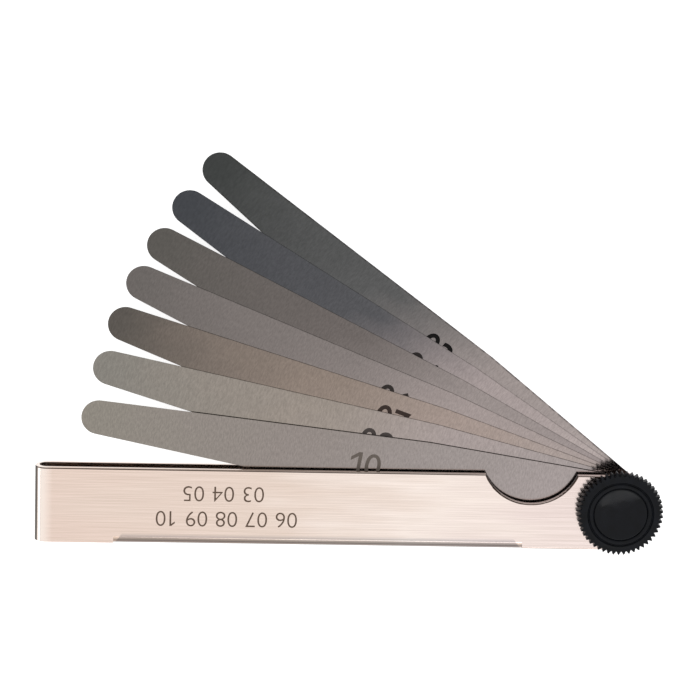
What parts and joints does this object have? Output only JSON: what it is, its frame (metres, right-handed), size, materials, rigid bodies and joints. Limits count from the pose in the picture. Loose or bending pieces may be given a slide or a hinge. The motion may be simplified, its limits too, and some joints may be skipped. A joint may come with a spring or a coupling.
{
  "type": "feeler gauge",
  "caption": "Feeler gauge: thin tapered steel leaves fan out from an open folded sheet-metal case, held on a pivot screw by a round knurled clamp knob.",
  "frame": {"origin": "on the pivot axis at the outer flat face of the screw head, on which the gauge lies", "axes": "+Z along the pivot axis out of the front plate through the knob, -X along the case towards its bent far end, +Y to the side where the leaves swing open"},
  "size_m": [0.1149, 0.073, 0.0086],
  "materials": {
    "case_sheet": "satin nickel plate, brushed along the case",
    "leaf_steel": "ground spring steel",
    "screw_steel": "turned, nickel plated",
    "knob_plastic": "black moulded, semi-matte",
    "cap_plastic": "black, polished",
    "insert_brass": "turned"
  },
  "bodies": {
    "frame": {"case": "case_sheet", "clamp_screw": "screw_steel", "back_spacer": "screw_steel", "front_spacer": "screw_steel"},
    "leaf_03": {"leaf_03": "leaf_steel"},
    "leaf_04": {"leaf_04": "leaf_steel"},
    "leaf_05": {"leaf_05": "leaf_steel"},
    "leaf_06": {"leaf_06": "leaf_steel"},
    "leaf_07": {"leaf_07": "leaf_steel"},
    "leaf_08": {"leaf_08": "leaf_steel"},
    "leaf_09": {"leaf_09": "leaf_steel"},
    "leaf_10": {"leaf_10": "leaf_steel"},
    "washer": {"clamp_washer": "screw_steel"},
    "knob": {"knob_body": "knob_plastic", "knob_insert": "insert_brass", "knob_cap": "cap_plastic"}
  },
  "joints": [
    {"name": "leaf_03_swing", "type": "hinge", "parent": "frame", "child": "leaf_03", "pos_m": [0, 0, 0], "axis": [0, 0, -1], "range_deg": [-39.7, 275.3]},
    {"name": "leaf_04_swing", "type": "hinge", "parent": "frame", "child": "leaf_04", "pos_m": [0, 0, 0], "axis": [0, 0, -1], "range_deg": [-34.5, 280.5]},
    {"name": "leaf_05_swing", "type": "hinge", "parent": "frame", "child": "leaf_05", "pos_m": [0, 0, 0], "axis": [0, 0, -1], "range_deg": [-29.6, 285.4]},
    {"name": "leaf_06_swing", "type": "hinge", "parent": "frame", "child": "leaf_06", "pos_m": [0, 0, 0], "axis": [0, 0, -1], "range_deg": [-24.9, 290.1]},
    {"name": "leaf_07_swing", "type": "hinge", "parent": "frame", "child": "leaf_07", "pos_m": [0, 0, 0], "axis": [0, 0, -1], "range_deg": [-20, 295]},
    {"name": "leaf_08_swing", "type": "hinge", "parent": "frame", "child": "leaf_08", "pos_m": [0, 0, 0], "axis": [0, 0, -1], "range_deg": [-14.9, 300.1]},
    {"name": "leaf_09_swing", "type": "hinge", "parent": "frame", "child": "leaf_09", "pos_m": [0, 0, 0], "axis": [0, 0, -1], "range_deg": [0, 315]},
    {"name": "leaf_10_swing", "type": "hinge", "parent": "frame", "child": "leaf_10", "pos_m": [0, 0, 0], "axis": [0, 0, -1], "range_deg": [-9.3, 305.7]},
    {"name": "clamp_travel", "type": "slide", "parent": "frame", "child": "washer", "axis": [0, 0, 1], "range_m": [0, 0.0014]},
    {"name": "clamp_turn", "type": "hinge", "parent": "washer", "child": "knob", "pos_m": [0, 0, 0], "axis": [0, 0, 1], "range_deg": [0, 722]}
  ],
  "couplings": [
    {"joint": "clamp_turn", "follows": "clamp_travel", "rad_per_m": 8976}
  ]
}
